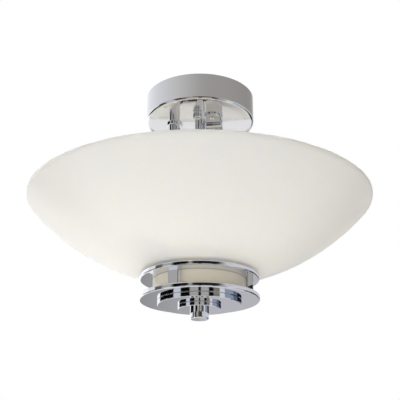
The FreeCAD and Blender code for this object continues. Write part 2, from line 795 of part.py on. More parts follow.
def make_lamp_plate():
    """Pressed steel plate with three tabs bent down, each with a hole for a lampholder."""
    body = new_body("lamp_plate")
    outline = new_sketch(body, "Plate_outline", "XY_Plane")
    add_circle(outline, "0", "0", half(size("lamp_plate_dia")))
    pad(body, outline, "Plate", size("lamp_plate_thick"))
    drop = total(size("lamp_axis_below_plate"), size("tab_below_lamp"))
    tab = new_sketch(body, "Tab_section", "XZ_Plane")
    inner = size("tab_offset")
    outer = total(inner, size("lamp_plate_thick"))
    bend = size("tab_bend")
    add_rectangle(tab, inner, outer, below(drop), size("lamp_plate_thick"))
    pad(body, tab, "Tab", size("tab_width"), midplane=True)
    round_edges(body, "Tab_bend_inside", bend,
                lambda edge: edge.BoundBox.YLength > value(size("tab_width")) * 0.9
                and abs(edge.BoundBox.XMin - value(inner)) < SAME and abs(edge.BoundBox.ZMin) < SAME)
    round_edges(body, "Tab_corners", size("tab_corner_round"),
                lambda edge: edge.BoundBox.XLength > value(size("lamp_plate_thick")) * 0.9
                and abs(edge.BoundBox.ZMax - value(below(drop))) < SAME and edge.BoundBox.YLength < SAME)
    hole = new_sketch(body, "Tab_hole", "YZ_Plane")
    add_circle(hole, "0", below(size("lamp_axis_below_plate")), holder_boss_hole_radius())
    pocket(body, hole, "Tab_hole_cut", total(outer, bend), upwards=True)
    ring = body.newObject("PartDesign::PolarPattern", "Three_tabs")
    body.Tip = ring
    tab_features = [item for item in body.Group if item.Name in
                    ("Tab", "Tab_bend_inside", "Tab_corners", "Tab_hole_cut")]
    ring.Originals = tab_features
    ring.Axis = (outline, ["N_Axis"])
    ring.Angle = 360
    ring.Occurrences = len(LAMPS)
    DOCUMENT.recompute()
    holes = new_sketch(body, "Plate_holes", "XY_Plane")
    add_circle(holes, "0", "0", ROD_HOLE_RADIUS)
    add_circle(holes, "-" + size("side_tube_offset"), "0", spigot_hole_radius())
    across, along = strap_screw_place()
    add_circle(holes, across, along, strap_hole_radius())
    pocket_through(body, holes, "Plate_holes_cut")
    place(body, below(LAMP_PLATE_UNDERSIDE))


def lay_along(item, start, angle):
    """Lay a piece that was made upright along a horizontal line out from the axis."""
    outward = FreeCAD.Rotation(UP, angle) * FreeCAD.Rotation(FreeCAD.Vector(0, 1, 0), 90)
    item.Placement = FreeCAD.Placement(FreeCAD.Vector(), outward)
    across, along = turned_point("(" + start + ")", angle)
    item.setExpression("Placement.Base.x", across)
    item.setExpression("Placement.Base.y", along)
    item.setExpression("Placement.Base.z", below(LAMP_AXIS))


def make_lampholder(number, angle):
    """Moulded lampholder with a threaded boss behind it, and its brass thread shell."""
    outer = half(size("holder_dia"))
    back_radius = half(size("holder_back_dia"))
    socket = half(size("holder_socket_dia"))
    boss = half(size("holder_boss_dia"))
    floor = less(size("holder_length"), size("holder_socket_depth"))
    boss_end = below(total(size("lamp_plate_thick"), size("holder_nut_height"), size("holder_boss_end")))
    mouth = size("holder_length")
    corners = [("0", boss_end), (boss, boss_end), (boss, "0"), (back_radius, "0"), (outer, floor),
               (outer, mouth), (socket, mouth), (socket, floor), ("0", floor)]
    holder = revolve("lampholder_" + number, corners)
    round_edges(holder, "Mouth_" + number, size("holder_mouth_round"), circles((outer, mouth)))
    back = total(size("tab_offset"), size("lamp_plate_thick"))
    lay_along(holder, back, angle)
    shell_outer = less(socket, size("shell_fit"))
    shell_inner = less(shell_outer, size("shell_wall"))
    shell_corners = [("0", "0"), (shell_outer, "0"), (shell_outer, size("shell_length")),
                     (shell_inner, size("shell_length")), (shell_inner, size("shell_floor")),
                     ("0", size("shell_floor"))]
    shell = revolve("thread_shell_" + number, shell_corners)
    lay_along(shell, total(back, floor), angle)


def lamp_start():
    """Distance from the axis to the tip of a lamp's cap."""
    floor = less(size("holder_length"), size("holder_socket_depth"))
    return total(size("tab_offset"), size("lamp_plate_thick"), floor, size("shell_floor"), size("lamp_fit"))


def make_lamp(number, angle):
    """Round frosted lamp: its glass and its screw cap."""
    cap = half(size("lamp_cap_dia"))
    tip = half(size("lamp_cap_tip_dia"))
    cap_end = size("lamp_cap_length")
    cap_corners = [("0", "0"), (tip, "0"), (cap, size("lamp_cap_tip_height")), (cap, cap_end),
                   ("0", cap_end)]
    lay_along(revolve("lamp_cap_" + number, cap_corners), lamp_start(), angle)
    neck = half(size("bulb_neck_dia"))
    shoulder = half(size("bulb_shoulder_dia"))
    radius = half(size("bulb_dia"))
    centre = less(size("lamp_length"), radius)
    neck_top = total(cap_end, size("bulb_neck_length"))
    shoulder_height = less(centre, "sqrt(%s ^ 2 - %s ^ 2)" % (radius, shoulder))
    corners = [("0", cap_end), (cap, cap_end), (neck, neck_top), (shoulder, shoulder_height),
               ("0", size("lamp_length"))]
    glass = revolve("lamp_glass_" + number, corners, {3: centre})
    lay_along(glass, lamp_start(), angle)


def make_holder_nuts():
    """Nuts that hold the lampholders on the tabs, seated on the tabs' inner faces."""
    nuts = []
    for number, angle in spread(LAMPS):
        nut = hex_nut("holder_" + number, size("holder_nut_flats"), size("holder_nut_height"),
                      total(half(size("holder_boss_dia")), size("thread_clearance")))
        lay_along(nut, less(size("tab_offset"), size("holder_nut_height")), angle)
        nuts.append(nut)
    group("lampholder_nuts", nuts)


# Bowl and its clamp -------------------------------------------------------------------------------

def make_clamp_plate():
    """Pressed plate that holds the bowl down, with windows that let light into the glass collar."""
    body = new_body("bowl_clamp_plate")
    outline = new_sketch(body, "Clamp_outline", "XY_Plane")
    add_circle(outline, "0", "0", CLAMP_RADIUS)
    add_circle(outline, "0", "0", ROD_HOLE_RADIUS)
    pad(body, outline, "Clamp", size("clamp_plate_thick"))
    window = new_sketch(body, "Window", "XY_Plane")
    add_circle(window, half(size("clamp_window_circle")), "0", half(size("clamp_window_dia")))
    opening = pocket_through(body, window, "Window_cut")
    windows = body.newObject("PartDesign::PolarPattern", "Windows")
    body.Tip = windows
    windows.Originals = [opening]
    windows.Axis = (outline, ["N_Axis"])
    windows.Angle = 360
    windows.Occurrences = CLAMP_WINDOWS
    DOCUMENT.recompute()
    round_edges(body, "Clamp_edge", size("clamp_edge_round"),
                circles((CLAMP_RADIUS, size("clamp_plate_thick"))))
    place(body, below(CLAMP_UNDERSIDE))


def make_gaskets():
    """Flat rubber rings above and below the bowl's floor, beside its hole."""
    inner = total(BOWL_HOLE, size("gasket_inset"))
    outer = less(CLAMP_RADIUS, size("gasket_inset"))
    tube("bowl_gasket_upper", outer, inner, size("gasket_thick"), below(BOWL_FLOOR))
    inner_low = total(RING_HOLE, size("gasket_inset"))
    outer_low = total(inner_low, size("gasket_width"))
    tube("bowl_gasket_lower", outer_low, inner_low, size("gasket_thick"), below(RING_TOP))


def make_bowl():
    """Opal glass dish: a zone of a sphere with a flat holed floor and a short upright lip."""
    foot = BOWL_FLOOR_RADIUS
    rim = half(size("bowl_dia"))
    hole = BOWL_HOLE
    wall = size("bowl_wall")
    depth = size("bowl_curve_depth")
    centre = "((%s ^ 2 + %s ^ 2 - %s ^ 2) / (2 * %s))" % (rim, depth, foot, depth)
    sphere = "sqrt(%s ^ 2 + %s ^ 2)" % (centre, foot)
    inner_sphere = "(%s - %s)" % (sphere, wall)
    inner_rim = less(rim, wall)
    inner_foot = "sqrt(%s ^ 2 - (%s - %s) ^ 2)" % (inner_sphere, centre, wall)
    inner_turn = "(%s - sqrt(%s ^ 2 - %s ^ 2))" % (centre, inner_sphere, inner_rim)
    top = total(depth, size("bowl_lip_height"))
    corners = [(hole, "0"), (foot, "0"), (rim, depth), (rim, top), (inner_rim, top),
               (inner_rim, inner_turn), (inner_foot, wall), (hole, wall)]
    body = revolve("bowl", corners, {1: centre, 5: centre})
    round_edges(body, "Lip_outside", size("bowl_lip_outer_round"), circles((rim, depth)))
    round_edges(body, "Lip_inside", size("bowl_lip_inner_round"), circles((inner_rim, inner_turn)))
    round_edges(body, "Rim", size("bowl_rim_round"), circles((rim, top), (inner_rim, top)))
    place(body, below(BOWL_UNDERSIDE))


# Foot under the bowl ------------------------------------------------------------------------------

def make_trim_ring():
    """Polished flat ring under the bowl, with countersunk holes for the posts' screws."""
    thick = size("ring_thick")
    corners = [(RING_HOLE, "0"), (FOOT_RADIUS, "0"), (FOOT_RADIUS, thick), (RING_HOLE, thick)]
    body = revolve("trim_ring", corners)
    rims = circles((FOOT_RADIUS, "0"), (FOOT_RADIUS, thick))
    round_edges(body, "Ring_edges", size("plate_edge_round"), rims)
    holes = new_sketch(body, "Ring_holes", "XY_Plane")
    for post, angle in spread(POSTS, FIRST_POST_ANGLE):
        across, along = turned_point(POST_CENTRE, angle)
        add_circle(holes, across, along, post_screw_hole_radius())
    pocket_through(body, holes, "Ring_holes_cut")
    sunk = half(less(size("post_screw_head_dia"), size("post_screw_dia")))
    round_edges(body, "Ring_countersinks", sunk, circles((post_screw_hole_radius(), thick)),
                kind="PartDesign::Chamfer")
    place(body, below(RING_UNDERSIDE))


def post_screw_hole_radius():
    """Radius of the ring's holes for the posts' screws."""
    return total(half(size("post_screw_dia")), size("screw_clearance"))


def make_post(label, angle):
    """Rectangular post with a spigot below and a tapped hole above."""
    body = new_body(label)
    outline = new_sketch(body, "Section_" + label, "XY_Plane")
    depth = half(size("post_depth"))
    width = half(size("post_width"))
    add_rectangle(outline, "-" + depth, depth, "-" + width, width)
    pad(body, outline, "Bar_" + label, size("collar_gap"))
    round_edges(body, "Corners_" + label, size("post_corner_round"), upright(size("collar_gap")))
    spigot = new_sketch(body, "Spigot_outline_" + label, "XY_Plane")
    add_circle(spigot, "0", "0", half(size("post_spigot_dia")))
    pad(body, spigot, "Spigot_" + label, size("post_spigot_length"), downwards=True)
    tapped = new_sketch(body, "Tapped_outline_" + label, "XY_Plane")
    add_circle(tapped, "0", "0", total(half(size("post_screw_dia")), size("screw_fit")))
    tapped.setExpression("AttachmentOffset.Base.z", size("collar_gap"))
    pocket(body, tapped, "Tapped_hole_" + label, total(size("post_screw_depth"), size("thread_end_gap")))
    across, along = turned_point(POST_CENTRE, angle)
    place(body, below(DISC_TOP), across, along, angle)


def make_post_screws():
    """Countersunk screws from the top of the ring into the posts."""
    screws = []
    shank = half(size("post_screw_dia"))
    head = half(size("post_screw_head_dia"))
    length = total(size("ring_thick"), size("post_screw_depth"))
    for label, angle in spread(POSTS, FIRST_POST_ANGLE):
        across, along = turned_point(POST_CENTRE, angle)
        cone = DOCUMENT.addObject("Part::Cone", "Head_" + label)
        cone.setExpression("Radius1", shank)
        cone.setExpression("Radius2", head)
        cone.setExpression("Height", less(head, shank))
        place(cone, below(total(RING_TOP, less(head, shank))), across, along)
        stem = cylinder("Shank_" + label, shank, length, below(total(RING_TOP, length)), across, along)
        screw = DOCUMENT.addObject("Part::Fuse", "Screw_" + label)
        screw.Base = cone
        screw.Tool = stem
        screws.append(screw)
    group("post_screws", screws)


def make_collar_glass():
    """Opal glass collar between ring and disc, with a thin rubber ring at each end."""
    length = less(size("collar_gap"), size("collar_gasket_thick"), size("collar_gasket_thick"))
    lower = less(size("collar_gasket_thick"), DISC_TOP)
    tube("collar_glass", COLLAR_OUTSIDE, COLLAR_INSIDE, length, lower)
    rings = []
    for number, level in enumerate((below(DISC_TOP), total(lower, length)), start=1):
        outside = cylinder("Seal_outside_%d" % number, COLLAR_OUTSIDE, size("collar_gasket_thick"))
        inside = cylinder("Seal_inside_%d" % number, COLLAR_INSIDE, size("collar_gasket_thick"))
        ring = cut("Seal_%d" % number, outside, inside)
        place(ring, level)
        rings.append(ring)
    group("collar_seals", rings)


def make_plate(label, diameter, thick, edge_round, underside):
    """Round polished plate with a hole for the rod and rounded edges."""
    radius = half(diameter)
    corners = [(ROD_HOLE_RADIUS, "0"), (radius, "0"), (radius, thick), (ROD_HOLE_RADIUS, thick)]
    body = revolve(label, corners)
    round_edges(body, "Edges_" + label, edge_round, circles((radius, "0"), (radius, thick)))
    place(body, below(underside))
    return body


def make_base_disc():
    """Wide polished disc with three blind holes for the posts' spigots."""
    body = make_plate("base_disc", size("foot_dia"), size("disc_thick"), size("plate_edge_round"),
                      DISC_UNDERSIDE)
    holes = new_sketch(body, "Spigot_holes", "XY_Plane")
    for post, angle in spread(POSTS, FIRST_POST_ANGLE):
        across, along = turned_point(POST_CENTRE, angle)
        add_circle(holes, across, along, total(half(size("post_spigot_dia")), size("screw_fit")))
    holes.setExpression("AttachmentOffset.Base.z", size("disc_thick"))
    pocket(body, holes, "Spigot_holes_cut", total(size("post_spigot_length"), size("thread_end_gap")))


def make_finial():
    """Round finial, blind and threaded from above, that draws the whole stack up."""
    radius = half(size("finial_dia"))
    floor = below(total(size("rod_into_finial"), size("thread_end_gap")))
    length = below(size("finial_length"))
    corners = [("0", length), (radius, length), (radius, "0"), (ROD_THREAD_RADIUS, "0"),
               (ROD_THREAD_RADIUS, floor), ("0", floor)]
    body = revolve("finial", corners)
    round_edges(body, "Finial_edge", size("finial_edge_round"), circles((radius, length)))
    place(body, below(LOWER_STEP_UNDERSIDE))


def check_and_write():
    """Check every feature and write each piece to its own file."""
    DOCUMENT.recompute()
    for item in DOCUMENT.Objects:
        if "Invalid" in item.State or "Error" in item.State:
            raise ValueError("%s failed: %s" % (item.Name, item.State))
    os.makedirs("parts", exist_ok=True)
    for label, item in NODES.items():
        shape = item.Shape
        if shape.isNull() or not shape.isValid() or shape.Volume <= 0:
            raise ValueError(label + " has no valid shape")
        shape.exportStep("parts/%s.step" % label)
    print("%d pieces written" % len(NODES))


def main():
    """Build every piece of the light from the ceiling down."""
    fill_sheet()
    make_mounting_bar()
    make_studs()
    make_terminal_block()
    make_earth_screw()
    make_canopy()
    make_knob("canopy_knob_front", -1)
    make_knob("canopy_knob_back", 1)
    make_rod()
    make_stems()
    make_side_tube()
    make_strap()
    make_lamp_plate()
    for number, angle in spread(LAMPS):
        make_lampholder(number, angle)
        make_lamp(number, angle)
    make_holder_nuts()
    make_clamp_plate()
    make_gaskets()
    make_bowl()
    make_trim_ring()
    for label, angle in spread(POSTS, FIRST_POST_ANGLE):
        make_post(label, angle)
    make_post_screws()
    make_collar_glass()
    make_base_disc()
    make_plate("upper_step", size("upper_step_dia"), size("upper_step_thick"), size("step_edge_round"),
               UPPER_STEP_UNDERSIDE)
    make_plate("lower_step", size("lower_step_dia"), size("lower_step_thick"), size("step_edge_round"),
               LOWER_STEP_UNDERSIDE)
    make_finial()
    check_and_write()


main()
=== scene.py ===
"""Looks of a semi flush ceiling light: chrome canopy and stems, an opal glass bowl and a stepped foot.

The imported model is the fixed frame. Its origin is the middle of the canopy in the ceiling plane, +Z
points up and -Y faces the viewer. Everything here is in metres in that frame, and sizes that a maker
would give in millimetres are written as a number times MM.
"""

import logging
import math
from dataclasses import dataclass
from enum import Enum
from typing import Any

import bpy
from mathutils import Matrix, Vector


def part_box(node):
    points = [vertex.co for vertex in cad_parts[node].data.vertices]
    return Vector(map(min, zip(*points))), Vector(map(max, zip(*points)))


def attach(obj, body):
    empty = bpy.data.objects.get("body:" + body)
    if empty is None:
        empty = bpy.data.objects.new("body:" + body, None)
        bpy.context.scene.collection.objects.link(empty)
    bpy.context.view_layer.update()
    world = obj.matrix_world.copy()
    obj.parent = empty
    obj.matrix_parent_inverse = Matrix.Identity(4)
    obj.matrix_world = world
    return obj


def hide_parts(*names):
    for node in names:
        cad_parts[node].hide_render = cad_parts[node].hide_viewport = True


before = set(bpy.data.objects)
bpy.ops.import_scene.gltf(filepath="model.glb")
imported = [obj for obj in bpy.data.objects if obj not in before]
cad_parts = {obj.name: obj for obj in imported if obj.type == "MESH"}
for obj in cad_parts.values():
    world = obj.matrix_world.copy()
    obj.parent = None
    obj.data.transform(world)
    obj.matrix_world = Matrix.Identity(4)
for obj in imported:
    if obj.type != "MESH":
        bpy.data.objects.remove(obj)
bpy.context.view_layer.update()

Tree = bpy.types.NodeTree
Socket = bpy.types.NodeSocket
Settings = dict[str | int, Any]
Links = dict[str | int, Socket]

MM = 0.001
HALF_TURN = 180.0  # degrees
LOG = logging.getLogger("ceiling_light")

# A Mix node's colour sockets go by number, because they share their names with its other sockets.
MIX_FIRST = 6
MIX_SECOND = 7
MIX_COLOUR = 2


# Nodes and colours --------------------------------------------------------------------------------

def linear(colour: str) -> tuple[float, float, float, float]:
    """Turn an sRGB hex colour into linear values, by the curve of the sRGB standard.

    Args:
        colour: six hex digits after a hash.

    Returns:
        Linear red, green and blue, and an alpha of one.
    """
    shares = (value / 255 for value in bytes.fromhex(colour[1:]))
    red, green, blue = (c / 12.92 if c <= 0.04045 else ((c + 0.055) / 1.055) ** 2.4 for c in shares)
    return red, green, blue, 1.0


def add_node(tree: Tree, kind: str, settings: Settings | None = None,
             links: Links | None = None) -> bpy.types.Node:
    """Add a node to a tree, with its settings and its links.

    Args:
        tree: the tree that gets the node.
        kind: Blender's name of the node's type.
        settings: values by property name, or by the name or number of an input socket.
        links: output sockets by the name or number of the input that each one feeds.

    Returns:
        The new node.
    """
    node = tree.nodes.new(kind)
    for key, value in (settings or {}).items():
        if isinstance(key, str) and hasattr(node, key):
            setattr(node, key, value)
        else:
            node.inputs[key].default_value = value
    for key, source in (links or {}).items():
        tree.links.new(source, node.inputs[key])
    return node


def new_material(name: str) -> tuple[bpy.types.Material, Tree]:
    """Start a node material with nothing in its tree.

    Args:
        name: the finish in plain words.

    Returns:
        The material and its empty tree.
    """
    material = bpy.data.materials.new(name)
    material.use_nodes = True
    material.node_tree.nodes.clear()
    return material, material.node_tree


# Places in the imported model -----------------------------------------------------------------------

def middle(node: str) -> tuple[float, float]:
    """Return the x and y of the middle of a node, which is the axis of a round upright piece."""
    low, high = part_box(node)
    return (low[0] + high[0]) / 2, (low[1] + high[1]) / 2


def levels(node: str) -> tuple[float, float]:
    """Return the lowest and the highest level of a node."""
    low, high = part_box(node)
    return low[2], high[2]


# Finishes -----------------------------------------------------------------------------------------

class PolishLay(Enum):
    """Which way a polished surface was worked, and so which way its faint lines run."""

    TURNED = "rings about the light's axis, from spinning and lathe polishing"
    DRAWN = "streaks along the light's axis, from drawing a tube or bar"


@dataclass(frozen=True)
class PolishedChrome:
    """Bright nickel and chrome plate on polished steel or brass.

    Gives the eye a hard mirror, slightly blue, with deep blacks. Buffing leaves a faint waviness and a
    haze of hairlines along the lay, just enough to soften a reflected edge. The hairlines lie further
    apart than real ones, which would be too fine to show.
    """

    name: str
    lay: PolishLay
    colour: str = "#E9EAEE"
    roughness: float = 0.035
    haze: float = 0.03
    clearest: float = 0.15
    haziest: float = 0.5
    line_spacing: float = 0.6 * MM
    bloom_size: float = 14 * MM
    wave_size: float = 9 * MM
    wave_depth: float = 0.0016 * MM

    def material(self) -> bpy.types.Material:
        """Build the finish as a material.

        Returns:
            The new material.
        """
        material, tree = new_material(self.name)
        place = add_node(tree, "ShaderNodeTexCoord").outputs["Object"]
        parts = add_node(tree, "ShaderNodeSeparateXYZ", links={0: place}).outputs
        across = add_node(tree, "ShaderNodeCombineXYZ", links={"X": parts["X"], "Y": parts["Y"]})
        if self.lay is PolishLay.TURNED:
            radius = add_node(tree, "ShaderNodeVectorMath", {"operation": "LENGTH"},
                              {0: across.outputs[0]})
            across = add_node(tree, "ShaderNodeCombineXYZ", links={
                "X": radius.outputs["Value"], "Y": parts["Z"]})
        hairlines = add_node(tree, "ShaderNodeTexNoise", {
            "Scale": 1 / self.line_spacing, "Detail": 2.0, "Roughness": 0.6},
            {"Vector": across.outputs[0]})
        bloom = add_node(tree, "ShaderNodeTexNoise", {"Scale": 1 / self.bloom_size, "Detail": 3.0},
                         {"Vector": place})
        haze = add_node(tree, "ShaderNodeMath", {"operation": "MULTIPLY"}, {
            0: hairlines.outputs["Fac"], 1: bloom.outputs["Fac"]})
        roughness = add_node(tree, "ShaderNodeMapRange", {
            "From Min": self.clearest, "From Max": self.haziest,
            "To Min": self.roughness, "To Max": self.roughness + self.haze}, {"Value": haze.outputs[0]})
        waves = add_node(tree, "ShaderNodeTexNoise", {"Scale": 1 / self.wave_size, "Detail": 1.0},
                         {"Vector": place})
        bump = add_node(tree, "ShaderNodeBump", {"Strength": 1.0, "Distance": self.wave_depth},
                        {"Height": waves.outputs["Fac"]})
        shader = add_node(tree, "ShaderNodeBsdfPrincipled", {
            "Base Color": linear(self.colour), "Metallic": 1.0},
            {"Roughness": roughness.outputs[0], "Normal": bump.outputs[0]})
        add_node(tree, "ShaderNodeOutputMaterial", links={"Surface": shader.outputs[0]})
        return material


@dataclass(frozen=True)
class PlatedSteel:
    """Zinc, brass or nickel fasteners, dull from the plating bath.

    Gives the eye a soft metal sheen in small cloudy patches, darker where fingers and tools rubbed.
    The crystals' grain is coarser than the real one, which would be too fine to show.
    """

    name: str
    light: str
    dark: str
    roughness: float
    patch_size: float = 5 * MM
    rubbed_smooth: float = 0.06
    left_dull: float = 0.08
    grain_size: float = 0.8 * MM
    grain_depth: float = 0.006 * MM

    def material(self) -> bpy.types.Material:
        """Build the finish as a material.

        Returns:
            The new material.
        """
        material, tree = new_material(self.name)
        place = add_node(tree, "ShaderNodeTexCoord").outputs["Object"]
        patches = add_node(tree, "ShaderNodeTexNoise", {"Scale": 1 / self.patch_size, "Detail": 4.0},
                           {"Vector": place})
        grain = add_node(tree, "ShaderNodeTexVoronoi", {"Scale": 1 / self.grain_size}, {"Vector": place})
        colour = add_node(tree, "ShaderNodeMix", {
            "data_type": "RGBA", MIX_FIRST: linear(self.dark), MIX_SECOND: linear(self.light)},
            {0: patches.outputs["Fac"]})
        roughness = add_node(tree, "ShaderNodeMapRange", {
            "To Min": self.roughness - self.rubbed_smooth, "To Max": self.roughness + self.left_dull},
            {"Value": patches.outputs["Fac"]})
        bump = add_node(tree, "ShaderNodeBump", {"Strength": 0.4, "Distance": self.grain_depth},
                        {"Height": grain.outputs["Distance"]})
        shader = add_node(tree, "ShaderNodeBsdfPrincipled", {"Metallic": 1.0}, {
            "Base Color": colour.outputs[MIX_COLOUR], "Roughness": roughness.outputs[0],
            "Normal": bump.outputs[0]})
        add_node(tree, "ShaderNodeOutputMaterial", links={"Surface": shader.outputs[0]})
        return material


@dataclass(frozen=True)
class OpalGlass:
    """Cased opal glass, blown or drawn, and etched to a satin skin.

    Gives the eye a milky white with depth: light spreads inside the wall, its warm part furthest,
    edges glow a little, and the etched skin has a broad soft sheen. The casing varies faintly in
    thickness. The etched grain is coarser than the real one, which would be too fine to show.
    """

    name: str
    light: str
    dark: str
    scatter: float = 14 * MM
    weight: float = 0.85
    roughness: float = 0.34
    cloud_size: float = 70 * MM
    etch_size: float = 0.35 * MM
    etch_depth: float = 0.01 * MM
    reach_by_colour: tuple[float, float, float] = (1.0, 0.85, 0.65)
    ior: float = 1.5

    def material(self) -> bpy.types.Material:
        """Build the finish as a material.

        Returns:
            The new material.
        """
        material, tree = new_material(self.name)
        place = add_node(tree, "ShaderNodeTexCoord").outputs["Object"]
        clouds = add_node(tree, "ShaderNodeTexNoise", {"Scale": 1 / self.cloud_size, "Detail": 2.0},
                          {"Vector": place})
        colour = add_node(tree, "ShaderNodeMix", {
            "data_type": "RGBA", MIX_FIRST: linear(self.dark), MIX_SECOND: linear(self.light)},
            {0: clouds.outputs["Fac"]})
        etch = add_node(tree, "ShaderNodeTexNoise", {"Scale": 1 / self.etch_size, "Detail": 2.0},
                        {"Vector": place})
        bump = add_node(tree, "ShaderNodeBump", {"Strength": 0.25, "Distance": self.etch_depth},
                        {"Height": etch.outputs["Fac"]})
        shader = add_node(tree, "ShaderNodeBsdfPrincipled", {
            "Roughness": self.roughness, "IOR": self.ior, "Subsurface Weight": self.weight,
            "Subsurface Radius": self.reach_by_colour, "Subsurface Scale": self.scatter},
            {"Base Color": colour.outputs[MIX_COLOUR], "Normal": bump.outputs[0]})
        add_node(tree, "ShaderNodeOutputMaterial", links={"Surface": shader.outputs[0]})
        return material


@dataclass(frozen=True)
class Coating:
    """Powder coat, moulded plastic or rubber: one colour with a fine surface texture.

    Gives the eye a plain colour that a slow mottle keeps from looking flat, under a sheen that the
    fine orange peel or mould grain breaks up.
    """

    name: str
    light: str
    dark: str
    roughness: float
    grain_size: float
    grain_depth: float
    mottle_size: float = 12 * MM
    ior: float = 1.5

    def material(self) -> bpy.types.Material:
        """Build the finish as a material.

        Returns:
            The new material.
        """
        material, tree = new_material(self.name)
        place = add_node(tree, "ShaderNodeTexCoord").outputs["Object"]
        mottle = add_node(tree, "ShaderNodeTexNoise", {"Scale": 1 / self.mottle_size, "Detail": 3.0},
                          {"Vector": place})
        colour = add_node(tree, "ShaderNodeMix", {
            "data_type": "RGBA", MIX_FIRST: linear(self.dark), MIX_SECOND: linear(self.light)},
            {0: mottle.outputs["Fac"]})
        grain = add_node(tree, "ShaderNodeTexNoise", {"Scale": 1 / self.grain_size, "Detail": 2.0},
                         {"Vector": place})
        bump = add_node(tree, "ShaderNodeBump", {"Strength": 0.5, "Distance": self.grain_depth},
                        {"Height": grain.outputs["Fac"]})
        shader = add_node(tree, "ShaderNodeBsdfPrincipled", {
            "Roughness": self.roughness, "IOR": self.ior},
            {"Base Color": colour.outputs[MIX_COLOUR], "Normal": bump.outputs[0]})
        add_node(tree, "ShaderNodeOutputMaterial", links={"Surface": shader.outputs[0]})
        return material


Finish = PolishedChrome | PlatedSteel | OpalGlass | Coating

# Spun and lathe-turned chrome: a mirror with the faintest rings round the light's axis.
TURNED_CHROME = PolishedChrome("polished_chrome_turned", PolishLay.TURNED)
# Drawn chrome tube and bar: the same mirror, with its lines along the piece.
DRAWN_CHROME = PolishedChrome("polished_chrome_drawn", PolishLay.DRAWN)
# Zinc plate on steel: cool grey, softly clouded.
ZINC_PLATE = PlatedSteel("zinc_plated_steel", "#C9CBCC", "#A9ABAC", 0.34)
# Pressed brass: warm yellow, a little browner where it has tarnished.
PRESSED_BRASS = PlatedSteel("pressed_brass", "#D6B36A", "#B48F49", 0.27)
# Nickel on a lamp's screw cap: grey with a warm cast.
CAP_NICKEL = PlatedSteel("nickel_plated_cap", "#CFCBC2", "#B3AEA4", 0.26)
# Green dye over zinc, which marks the earth screw.
EARTH_GREEN = PlatedSteel("green_dyed_zinc", "#3E8F55", "#2C6E40", 0.36)
# Blown and etched opal glass: almost white, and so deep that its shading stays soft.
BOWL_OPAL = OpalGlass("satin_opal_glass", "#FBFAF7", "#F8F6F1")
# Drawn opal tube: creamier and denser than the bowl.
COLLAR_OPAL = OpalGlass("satin_opal_tube", "#FFF9EC", "#FDF4E4", scatter=3 * MM, weight=0.3)
# Frosted lamp envelope: thin and pale, with a slightly tighter sheen.
LAMP_OPAL = OpalGlass("frosted_lamp_glass", "#F4F3EF", "#EFEDE8", scatter=2 * MM, weight=0.25,
                      roughness=0.3, cloud_size=20 * MM)
# Powder coats: an even colour under a fine orange peel.
WHITE_ENAMEL = Coating("white_powder_coat", "#EDEDE8", "#E6E6E0", 0.38, 0.9 * MM, 0.02 * MM)
BLACK_ENAMEL = Coating("black_powder_coat", "#1B1B1C", "#141415", 0.42, 0.9 * MM, 0.02 * MM)
# Moulded phenolic: creamy white with a soft gloss from the mould.
WHITE_PHENOLIC = Coating("white_phenolic", "#E9E6DC", "#E1DDD1", 0.28, 0.5 * MM, 0.006 * MM)
# Moulded nylon: pale and matt.
NYLON = Coating("moulded_nylon", "#E3E1D8", "#D9D6CB", 0.42, 0.4 * MM, 0.01 * MM)
# Silicone rubber: a dull pale grey.
SEAL_RUBBER = Coating("silicone_rubber", "#D6D5CF", "#CBCAC3", 0.6, 0.5 * MM, 0.01 * MM)


def material_of(finish: Finish) -> bpy.types.Material:
    """Return a finish's material, which is built the first time that it is asked for."""
    return bpy.data.materials.get(finish.name) or finish.material()


def dress(finish: Finish, *names: str) -> None:
    """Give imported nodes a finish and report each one.

    Args:
        finish: the finish that all of them get.
        names: the nodes' names.
    """
    for name in names:
        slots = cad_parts[name].data.materials
        slots.clear()
        slots.append(material_of(finish))
        LOG.info("%s: %s", name, finish.name)


# Threads and screws -------------------------------------------------------------------------------

